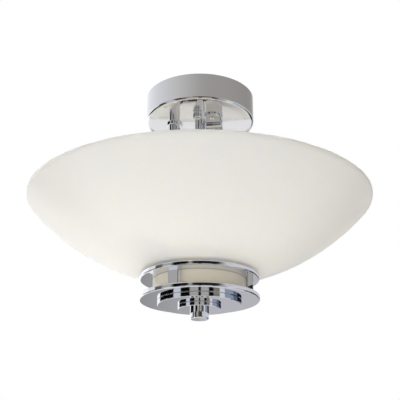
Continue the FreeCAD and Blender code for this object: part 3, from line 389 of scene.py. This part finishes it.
class SizedTree:
    """A Geometry Nodes tree whose sizes are named inputs."""

    def __init__(self, name: str, inputs: dict[str, str]) -> None:
        """Start the tree.

        Args:
            name: the tree's name.
            inputs: the inputs' names, each with its socket type.
        """
        self.tree = bpy.data.node_groups.new(name, "GeometryNodeTree")
        face = self.tree.interface
        self.keys = {label: face.new_socket(label, in_out="INPUT", socket_type=kind).identifier
                     for label, kind in (inputs | {"Material": "NodeSocketMaterial"}).items()}
        face.new_socket("Geometry", in_out="OUTPUT", socket_type="NodeSocketGeometry")
        self.given = add_node(self.tree, "NodeGroupInput").outputs

    def add(self, kind: str, settings: Settings | None = None, links: Links | None = None) -> Socket:
        """Add a node, as add_node does, and return its first output."""
        return add_node(self.tree, kind, settings, links).outputs[0]

    def times(self, first: Socket, second: Socket | float) -> Socket:
        """Return the product of a socket and another socket or a number."""
        settings, links = ({1: second}, {}) if isinstance(second, float) else ({}, {1: second})
        return self.add("ShaderNodeMath", {"operation": "MULTIPLY"} | settings, {0: first} | links)

    def close(self, shape: Socket) -> None:
        """End the tree with real geometry in the material that was given."""
        real = self.add("GeometryNodeRealizeInstances", links={0: shape})
        add_node(self.tree, "NodeGroupOutput", links={0: self.add("GeometryNodeSetMaterial", links={
            "Geometry": real, "Material": self.given["Material"]})})

    def grow(self, name: str, finish: Finish, **sizes: Any) -> bpy.types.Object:
        """Run the tree once and keep its result as a plain piece.

        Args:
            name: the new piece's name.
            finish: the new piece's finish.
            **sizes: the inputs' values, with underscores for the blanks in their names.

        Returns:
            The piece, at the origin.
        """
        material = material_of(finish)
        piece = bpy.data.objects.new(name, bpy.data.meshes.new(name + "_start"))
        bpy.context.scene.collection.objects.link(piece)
        modifier = piece.modifiers.new("grow", "NODES")
        modifier.node_group = self.tree
        modifier[self.keys["Material"]] = material
        for label, amount in sizes.items():
            modifier[self.keys[label.replace("_", " ")]] = amount
        ready = piece.evaluated_get(bpy.context.evaluated_depsgraph_get())
        grown = bpy.data.meshes.new_from_object(ready)
        piece.modifiers.remove(modifier)
        piece.data = grown
        grown.name = name
        # A mesh Boolean can leave an empty slot, so the slots start again with the one finish.
        grown.materials.clear()
        grown.materials.append(material)
        grown.polygons.foreach_set("material_index", [0] * len(grown.polygons))
        LOG.info("%s: %d faces, %s", name, len(grown.polygons), finish.name)
        return piece


@dataclass(frozen=True)
class Thread:
    """A cut thread on a rod or stud, as one right-handed ridge of diamond section round it.

    foot is the point on the axis where the ridge starts, and it climbs by length from there.
    """

    name: str
    radius: float
    pitch: float
    ridge: float
    foot: tuple[float, float, float]
    length: float

    @staticmethod
    def tree(steps_per_turn: int = 14, flank: float = 0.44) -> SizedTree:
        """Build the tree that winds the ridge.

        Args:
            steps_per_turn: the number of straight steps in a turn.
            flank: how far the ridge reaches up and down from its crest, as a share of the pitch.

        Returns:
            The tree, with inputs for the sizes of a thread.
        """
        sized = SizedTree("thread_ridge", {
            "Radius": "NodeSocketFloat", "Pitch": "NodeSocketFloat", "Ridge": "NodeSocketFloat",
            "Turns": "NodeSocketFloat", "Foot": "NodeSocketVector"})
        given = sized.given
        helix = sized.add("GeometryNodeCurveSpiral", {"Resolution": steps_per_turn, "Reverse": True}, {
            "Rotations": given["Turns"], "Start Radius": given["Radius"], "End Radius": given["Radius"],
            "Height": sized.times(given["Pitch"], given["Turns"])})
        level = sized.add("GeometryNodeSetCurveNormal", {"mode": "Z_UP"}, {0: helix})
        reach = sized.times(given["Pitch"], flank)
        # The diamond's inner half lies inside the rod, so it is twice as wide as the ridge is high.
        section = sized.add("GeometryNodeCurvePrimitiveQuadrilateral", {"mode": "KITE"}, {
            "Width": sized.times(given["Ridge"], 2.0), "Bottom Height": reach, "Top Height": reach})
        ridge = sized.add("GeometryNodeCurveToMesh", {"Fill Caps": True}, {
            "Curve": level, "Profile Curve": section})
        sized.close(sized.add("GeometryNodeTransform", links={
            "Geometry": ridge, "Translation": given["Foot"]}))
        return sized

    @property
    def turns(self) -> float:
        """Return the number of turns, to a thousandth, so that rounding never drops a step."""
        return round(self.length / self.pitch, 3)

    def build(self, sized: SizedTree) -> None:
        """Wind the thread and fix it to the light.

        Args:
            sized: the tree that winds the ridge.
        """
        piece = sized.grow(self.name, ZINC_PLATE, Radius=self.radius, Pitch=self.pitch, Ridge=self.ridge,
                           Turns=self.turns, Foot=self.foot)
        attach(piece, "fixture")


@dataclass
class StrapScrews:
    """Slotted countersunk screws that hold the strap, one in each of its feet."""

    head_radius: float = 3.8 * MM
    shank_radius: float = 2.0 * MM
    slot_width: float = 1.0 * MM
    slot_depth: float = 0.9 * MM
    strap_thickness: float = 2.5 * MM
    sides: int = 32

    def build(self) -> None:
        """Make both screws as one piece, in place of the plain ones."""
        lower_foot, upper_foot = levels("side_strap")
        bottom_face = lower_foot + self.strap_thickness
        top_face = upper_foot - self.strap_thickness
        bottom_end, top_end = levels("strap_screws")
        place = middle("strap_screws")
        # The block that cuts the slot crosses the whole head and stands as far out of it as into it.
        cutter = (3 * self.head_radius, self.slot_width, 2 * self.slot_depth)
        piece = self.tree().grow(
            "strap_screws_slotted", ZINC_PLATE,
            Head=self.head_radius, Shank=self.shank_radius, Slot=cutter,
            Top_length=top_end - top_face, Bottom_length=bottom_face - bottom_end,
            Top_place=(*place, top_face), Bottom_place=(*place, bottom_face))
        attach(piece, "fixture")
        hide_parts("strap_screws")

    def tree(self) -> SizedTree:
        """Build the tree that makes both screws.

        Returns:
            The tree, with inputs for the screws' sizes and places.
        """
        sized = SizedTree("slotted_screws", {
            "Head": "NodeSocketFloat", "Shank": "NodeSocketFloat", "Slot": "NodeSocketVector",
            "Top length": "NodeSocketFloat", "Bottom length": "NodeSocketFloat",
            "Top place": "NodeSocketVector", "Bottom place": "NodeSocketVector"})
        top = sized.add("GeometryNodeTransform", links={
            "Geometry": self.screw(sized, "Top length"), "Translation": sized.given["Top place"]})
        bottom = sized.add("GeometryNodeTransform", {"Rotation": (math.pi, 0.0, 0.0)}, {
            "Geometry": self.screw(sized, "Bottom length"), "Translation": sized.given["Bottom place"]})
        both = add_node(sized.tree, "GeometryNodeJoinGeometry")
        for screw in (top, bottom):
            sized.tree.links.new(screw, both.inputs[0])
        sized.close(both.outputs[0])
        return sized

    def screw(self, sized: SizedTree, length: str) -> Socket:
        """Add one screw with its head's face at the origin and its shank upwards.

        Args:
            sized: the tree that gets the screw.
            length: the name of the input with the screw's length.

        Returns:
            The socket with the screw's mesh.
        """
        given = sized.given
        rise = sized.add("ShaderNodeMath", {"operation": "SUBTRACT"}, {
            0: given["Head"], 1: given["Shank"]})
        head = sized.add("GeometryNodeMeshCone", {"Vertices": self.sides}, {
            "Radius Bottom": given["Head"], "Radius Top": given["Shank"], "Depth": rise})
        shank = sized.add("GeometryNodeMeshCylinder", {"Vertices": self.sides}, {
            "Radius": given["Shank"], "Depth": given[length]})
        raised = sized.add("GeometryNodeTransform", links={
            "Geometry": shank, "Translation": sized.add("ShaderNodeCombineXYZ", links={
                "Z": sized.times(given[length], 0.5)})})
        blank = add_node(sized.tree, "GeometryNodeMeshBoolean", {"operation": "UNION"})
        for shape in (head, raised):
            sized.tree.links.new(shape, blank.inputs["Mesh 2"])
        slot = sized.add("GeometryNodeMeshCube", links={"Size": given["Slot"]})
        return sized.add("GeometryNodeMeshBoolean", {"operation": "DIFFERENCE"}, {
            "Mesh 1": blank.outputs[0], "Mesh 2": slot})


# Sub-assemblies -----------------------------------------------------------------------------------

@dataclass
class CeilingEnd:
    """Canopy, its two knobs and what it hides: the bar, studs, terminal block and earth screw."""

    stud_radius: float = 2.0 * MM
    stud_pitch: float = 0.7 * MM
    stud_ridge: float = 0.16 * MM
    canopy_wall: float = 1.2 * MM
    gap_at_canopy: float = 0.2 * MM
    gap_at_nuts: float = 0.3 * MM

    def build(self) -> None:
        """Dress every piece at the ceiling and cut the studs' threads."""
        dress(TURNED_CHROME, "canopy", "canopy_knob_front", "canopy_knob_back")
        dress(ZINC_PLATE, "mounting_bar", "canopy_studs", "stud_nuts")
        dress(EARTH_GREEN, "earth_screw")
        dress(NYLON, "terminal_block")
        dress(PRESSED_BRASS, "terminal_screws")
        self.thread_studs()

    def thread_studs(self) -> None:
        """Wind the threads of the two studs, from inside the canopy up to their lock nuts."""
        tree = Thread.tree()
        foot = levels("canopy")[0] + self.canopy_wall + self.gap_at_canopy
        length = levels("stud_nuts")[0] - self.gap_at_nuts - foot
        for side in ("front", "back"):
            axis = middle(f"canopy_knob_{side}")
            Thread(f"stud_thread_{side}", self.stud_radius, self.stud_pitch, self.stud_ridge,
                   (*axis, foot), length).build(tree)


@dataclass
class Stems:
    """Rod, centre stem, side tube and strap between canopy and lamp plate."""

    rod_radius: float = 4.8 * MM
    rod_pitch: float = 1.0 * MM
    rod_ridge: float = 0.2 * MM

    def build(self) -> None:
        """Dress the stems and their fasteners, thread the rod's open end and slot the strap's screws."""
        dress(DRAWN_CHROME, "upper_stem", "side_tube", "side_tube_collar", "side_strap")
        dress(ZINC_PLATE, "threaded_rod", "rod_nut", "rod_washer", "side_tube_nuts", "strap_screws",
              "strap_nuts", "lower_stem")
        self.thread_rod()
        StrapScrews().build()

    def thread_rod(self) -> None:
        """Wind the rod's thread above its nut, half a pitch clear of the nut and of the rod's end."""
        margin = self.rod_pitch / 2
        foot = levels("rod_nut")[1] + margin
        length = levels("threaded_rod")[1] - margin - foot
        Thread("rod_thread", self.rod_radius, self.rod_pitch, self.rod_ridge, (0.0, 0.0, foot),
               length).build(Thread.tree())


@dataclass
class LampCluster:
    """Lamp plate with its lampholders and their lamps."""

    count: int = 3

    def build(self) -> None:
        """Dress the plate, holders and lamps."""
        dress(BLACK_ENAMEL, "lamp_plate")
        dress(ZINC_PLATE, "lampholder_nuts")
        for number in range(1, self.count + 1):
            dress(WHITE_PHENOLIC, f"lampholder_{number}")
            dress(PRESSED_BRASS, f"thread_shell_{number}")
            dress(CAP_NICKEL, f"lamp_cap_{number}")
            dress(LAMP_OPAL, f"lamp_glass_{number}")


@dataclass
class GlassBowl:
    """Opal glass bowl with its clamp plate and gaskets."""

    def build(self) -> None:
        """Dress the bowl and what clamps it."""
        dress(BOWL_OPAL, "bowl")
        dress(WHITE_ENAMEL, "bowl_clamp_plate")
        dress(SEAL_RUBBER, "bowl_gasket_upper", "bowl_gasket_lower")


@dataclass
class SteppedFoot:
    """Ring, posts, glass collar, disc, steps and finial below the bowl."""

    def build(self) -> None:
        """Dress the foot."""
        dress(TURNED_CHROME, "trim_ring", "base_disc", "upper_step", "lower_step", "finial")
        dress(DRAWN_CHROME, "post_left", "post_right", "post_back")
        dress(ZINC_PLATE, "post_screws")
        dress(COLLAR_OPAL, "collar_glass")
        dress(SEAL_RUBBER, "collar_seals")


# Studio -------------------------------------------------------------------------------------------

@dataclass(frozen=True)
class Card:
    """A card, a flag or a gap between them, as the chrome sees it.

    left and right are bearings in degrees: 0 lies towards the viewer and 90 to the viewer's right.
    Neighbours blend over the stretch between them. A card whose two bearings are alike is a single
    point of such a blend.
    """

    left: float
    right: float
    shade: str


@dataclass(frozen=True)
class Layer:
    """Everything that stands round the light, from one height up to the next layer.

    lowest is an elevation in degrees, over and under which the layer fades in by blur.
    """

    lowest: float
    cards: tuple[Card, ...]
    blur: float = 1.5


FLOOR_LAYER = Layer(-90.0, (
    Card(-180, -70, "#DADADD"), Card(-70, -34, "#8E8E90"), Card(-34, 40, "#B4B3B1"),
    Card(40, 180, "#C4C4C8")), 8.0)
LAP_LAYER = Layer(-38.0, (
    Card(-180, -168, "#DCDAD9"), Card(-168, -134, "#FBFBFB"), Card(-134, -74, "#050506"),
    Card(-74, -52, "#C5C9CE"), Card(-52, -26, "#030303"), Card(-26, -3, "#A7A295"),
    Card(-3, 4, "#0A0A0A"), Card(4, 25, "#A6A49E"), Card(25, 38, "#050505"), Card(38, 56, "#7C776C"),
    Card(56, 72, "#D0D3D6"), Card(72, 124, "#7E8796"), Card(124, 158, "#0B1020"),
    Card(158, 180, "#DCDAD9")))
TABLE_LAYER = Layer(-22.0, (
    Card(-180, -179.5, "#9C9C9F"), Card(-175, -170, "#828283"), Card(-168, -134, "#FBFBFB"),
    Card(-134, -74, "#040405"), Card(-74, -52, "#C5C9CE"), Card(-52, -26, "#030303"),
    Card(-26, -3, "#A3A19B"), Card(-3, 4, "#0A0A0A"), Card(4, 25, "#A6A49E"), Card(25, 38, "#050505"),
    Card(38, 56, "#7C776C"), Card(56, 72, "#D0D3D6"), Card(72, 104, "#8A93A2"),
    Card(104, 124, "#5A6577"), Card(124, 158, "#0B1020"), Card(165, 180, "#ACABB0")))
HEAD_LAYER = Layer(-4.0, (
    Card(-180, -112, "#F2F3F5"), Card(-112, -92, "#D8D8DA"), Card(-92, -74, "#5A5A5C"),
    Card(-72, -56, "#9E9C9B"), Card(-54, -40, "#060607"), Card(-34, -15, "#96938F"),
    Card(-14, 2, "#4B4A4A"), Card(2, 28, "#333231"), Card(34, 66, "#B9BAC0"), Card(66, 180, "#C1C2C6")))
SHELF_LAYER = Layer(13.6, (
    Card(-180, -112, "#F2F3F5"), Card(-112, -92, "#D8D8DA"), Card(-92, -76, "#5A5A5C"),
    Card(-73, -55, "#9E9C9B"), Card(-50, -22, "#0A0A0B"), Card(-19, -15, "#96938F"),
    Card(-12, 36, "#1C1B1B"), Card(50, 66, "#B9BAC0"), Card(66, 180, "#C1C2C6")), 0.6)
CEILING_LAYER = Layer(21.0, (
    Card(-180, -180, "#F8F8FA"), Card(-150, -150, "#E0E0E4"), Card(-100, -100, "#C9C9CB"),
    Card(-50, -50, "#B5B4B3"), Card(0, 0, "#999793"), Card(20, 20, "#94918D"), Card(60, 60, "#928F8A"),
    Card(120, 120, "#8A8783"), Card(145, 145, "#908E8A"), Card(165, 165, "#BBBBBD"),
    Card(180, 180, "#F8F8FA")))
LAYERS = (FLOOR_LAYER, LAP_LAYER, TABLE_LAYER, HEAD_LAYER, SHELF_LAYER, CEILING_LAYER)


@dataclass(frozen=True)
class SoftLamp:
    """A large soft lamp that lights the glass and stays out of the chrome and out of the picture."""

    name: str
    place: tuple[float, float, float]
    aim: tuple[float, float, float]
    side: float
    watts: float
    spread: float = 180.0
    tint: str = "#FFFDF6"

    def hang(self) -> None:
        """Hang the lamp and turn it to what it lights."""
        data = bpy.data.lights.new(self.name, "AREA")
        data.shape = "SQUARE"
        data.size = self.side
        data.energy = self.watts
        data.spread = math.radians(self.spread)
        red, green, blue, _ = linear(self.tint)
        data.color = (red, green, blue)
        lamp = bpy.data.objects.new(self.name, data)
        lamp.location = self.place
        way = Vector(self.aim) - Vector(self.place)
        lamp.rotation_euler = way.to_track_quat("-Z", "Y").to_euler()
        lamp.visible_glossy = False
        lamp.visible_camera = False
        bpy.context.scene.collection.objects.link(lamp)


# One lamp lights the inside of the bowl's far wall, the other the foot's glass collar.
LAMPS = (
    SoftLamp("lamp_above", (-0.15, -0.7, 1.1), (0.0, 0.16, -0.14), 0.55, 0.85, 24.0),
    SoftLamp("lamp_in_front", (-0.14, -1.2, -0.52), (0.0, 0.0, -0.23), 0.5, 2.4),
)


@dataclass
class Studio:
    """Camera, surroundings, soft light and floor.

    The camera's angles are in degrees, and its lens and sensor in millimetres. The soft light comes
    mostly from light_from and falls off to dim_side on the other side, the faster the higher
    soft_focus is. The cards' edges are drawn in by card_edge, in degrees. floor_glow lifts the floor
    towards the backdrop for the camera alone.
    """

    camera_place: tuple[float, float, float] = (0.0002, -0.8099, -0.43865)
    camera_pitch: float = 20.964
    camera_roll: float = -0.12
    camera_yaw: float = -0.055
    lens: float = 68.13
    sensor: float = 36.0
    card_gain: float = 1.25
    card_edge: float = 1.0
    light_from: tuple[float, float, float] = (-0.3, 0.0, -0.954)
    bright_side: str = "#FFFAF1"
    dim_side: str = "#302E28"
    soft_gain: float = 1.22
    soft_focus: float = 1.5
    backdrop: str = "#FFFFFF"
    floor_level: float = -2.2
    floor_reach: float = 60.0
    floor_shade: str = "#F4F4F2"
    floor_glow: float = 0.7

    def build(self) -> None:
        """Set up the whole studio."""
        self.add_camera()
        self.add_world()
        for lamp in LAMPS:
            lamp.hang()
        self.add_floor()
        bpy.context.scene.view_settings.view_transform = "Standard"

    def add_camera(self) -> None:
        """Put the camera where the photograph was taken from, below the light and looking up."""
        data = bpy.data.cameras.new("camera")
        data.lens = self.lens
        data.sensor_width = self.sensor
        camera = bpy.data.objects.new("camera", data)
        camera.location = self.camera_place
        looking_level = math.radians(HALF_TURN / 2)
        camera.rotation_euler = (looking_level + math.radians(self.camera_pitch),
                                 math.radians(self.camera_roll), math.radians(self.camera_yaw))
        bpy.context.scene.collection.objects.link(camera)
        bpy.context.scene.camera = camera

    def add_world(self) -> None:
        """Build the surroundings: white for the eye, soft light for the glass, cards for the chrome."""
        world = bpy.data.worlds.new("studio")
        world.use_nodes = True
        bpy.context.scene.world = world
        tree = world.node_tree
        tree.nodes.clear()
        direction = add_node(tree, "ShaderNodeTexCoord").outputs["Generated"]
        path = add_node(tree, "ShaderNodeLightPath")
        soft = add_node(tree, "ShaderNodeBackground", {"Strength": self.soft_gain},
                        {"Color": self.soft_light(tree, direction)})
        cards = add_node(tree, "ShaderNodeBackground", {"Strength": self.card_gain},
                         {"Color": self.card_light(tree, direction)})
        white = add_node(tree, "ShaderNodeBackground", {"Color": linear(self.backdrop), "Strength": 1.0})
        lit = add_node(tree, "ShaderNodeMixShader", links={
            0: path.outputs["Is Glossy Ray"], 1: soft.outputs[0], 2: cards.outputs[0]})
        seen = add_node(tree, "ShaderNodeMixShader", links={
            0: path.outputs["Is Camera Ray"], 1: lit.outputs[0], 2: white.outputs[0]})
        add_node(tree, "ShaderNodeOutputWorld", links={"Surface": seen.outputs[0]})

    def soft_light(self, tree: Tree, direction: Socket) -> Socket:
        """Add the light that falls on the glass: broad, and stronger from the left below.

        Args:
            tree: the world's tree.
            direction: the direction that is looked in.

        Returns:
            The socket with the light's colour.
        """
        facing = add_node(tree, "ShaderNodeVectorMath", {"operation": "DOT_PRODUCT", 1: self.light_from},
                          {0: direction})
        share = add_node(tree, "ShaderNodeMapRange", {"From Min": -1.0},
                         {"Value": facing.outputs["Value"]})
        narrowed = add_node(tree, "ShaderNodeMath", {"operation": "POWER", 1: self.soft_focus},
                            {0: share.outputs[0]})
        return add_node(tree, "ShaderNodeMix", {
            "data_type": "RGBA", MIX_FIRST: linear(self.dim_side), MIX_SECOND: linear(self.bright_side)},
            {0: narrowed.outputs[0]}).outputs[MIX_COLOUR]

    def card_light(self, tree: Tree, direction: Socket) -> Socket:
        """Add what the chrome sees: the layers of cards, one above the other.

        Args:
            tree: the world's tree.
            direction: the direction that is looked in.

        Returns:
            The socket with the cards' colour.
        """
        parts = add_node(tree, "ShaderNodeSeparateXYZ", links={0: direction}).outputs
        forward = add_node(tree, "ShaderNodeMath", {"operation": "MULTIPLY", 1: -1.0}, {0: parts["Y"]})
        bearing = add_node(tree, "ShaderNodeMath", {"operation": "ARCTAN2"},
                           {0: parts["X"], 1: forward.outputs[0]})
        share = add_node(tree, "ShaderNodeMapRange", {"From Min": -math.pi, "From Max": math.pi},
                         {"Value": bearing.outputs[0]})
        rise = add_node(tree, "ShaderNodeMath", {"operation": "ARCSINE"}, {0: parts["Z"]})
        colour = self.card_ramp(tree, share.outputs[0], LAYERS[0].cards)
        for layer in LAYERS[1:]:
            above = add_node(tree, "ShaderNodeMapRange", {
                "interpolation_type": "SMOOTHSTEP", "From Min": math.radians(layer.lowest - layer.blur),
                "From Max": math.radians(layer.lowest + layer.blur)}, {"Value": rise.outputs[0]})
            cards = self.card_ramp(tree, share.outputs[0], layer.cards)
            colour = add_node(tree, "ShaderNodeMix", {"data_type": "RGBA"}, {
                0: above.outputs[0], MIX_FIRST: colour, MIX_SECOND: cards}).outputs[MIX_COLOUR]
        return colour

    def card_ramp(self, tree: Tree, share: Socket, cards: tuple[Card, ...]) -> Socket:
        """Add the colour of one layer's cards by bearing.

        Args:
            tree: the world's tree.
            share: the bearing, from 0 to 1 all round.
            cards: the cards, from the left to the right.

        Returns:
            The socket with the colour.
        """
        ramp = add_node(tree, "ShaderNodeValToRGB", links={0: share})
        stops = ramp.color_ramp.elements
        while len(stops) > 1:
            stops.remove(stops[-1])
        edges = []
        for card in cards:
            edges.append((card.left + self.card_edge, card.shade))
            if card.right > card.left:
                edges.append((card.right - self.card_edge, card.shade))
        for number, (bearing, shade) in enumerate(edges):
            position = (bearing + HALF_TURN) / (2 * HALF_TURN)
            stop = stops[0] if number == 0 else stops.new(position)
            stop.position = position
            stop.color = linear(shade)
        return ramp.outputs["Color"]

    def add_floor(self) -> None:
        """Lay a plain pale floor far below the light, which only the camera sees."""
        reach = self.floor_reach
        mesh = bpy.data.meshes.new("floor")
        corners = [(x * reach, y * reach, self.floor_level)
                   for x, y in ((-1, -1), (1, -1), (1, 1), (-1, 1))]
        mesh.from_pydata(corners, [], [(0, 1, 2, 3)])
        floor = bpy.data.objects.new("floor", mesh)
        bpy.context.scene.collection.objects.link(floor)
        material, tree = new_material("pale_floor")
        path = add_node(tree, "ShaderNodeLightPath")
        plain = add_node(tree, "ShaderNodeBsdfDiffuse", {"Color": linear(self.floor_shade)})
        glow = add_node(tree, "ShaderNodeEmission", {
            "Color": linear(self.backdrop), "Strength": self.floor_glow})
        both = add_node(tree, "ShaderNodeAddShader", links={0: plain.outputs[0], 1: glow.outputs[0]})
        mixed = add_node(tree, "ShaderNodeMixShader", links={
            0: path.outputs["Is Camera Ray"], 1: plain.outputs[0], 2: both.outputs[0]})
        add_node(tree, "ShaderNodeOutputMaterial", links={"Surface": mixed.outputs[0]})
        mesh.materials.append(material)
        floor.visible_glossy = False
        floor.visible_diffuse = False
        floor.visible_shadow = False


def main() -> None:
    """Build and dress the light from the ceiling down, then its studio."""
    logging.basicConfig(level=logging.INFO, format="%(message)s")
    for assembly in (CeilingEnd(), Stems(), LampCluster(), GlassBowl(), SteppedFoot(), Studio()):
        assembly.build()
        LOG.info("finished %s", type(assembly).__name__)


if __name__ == "__main__":
    main()
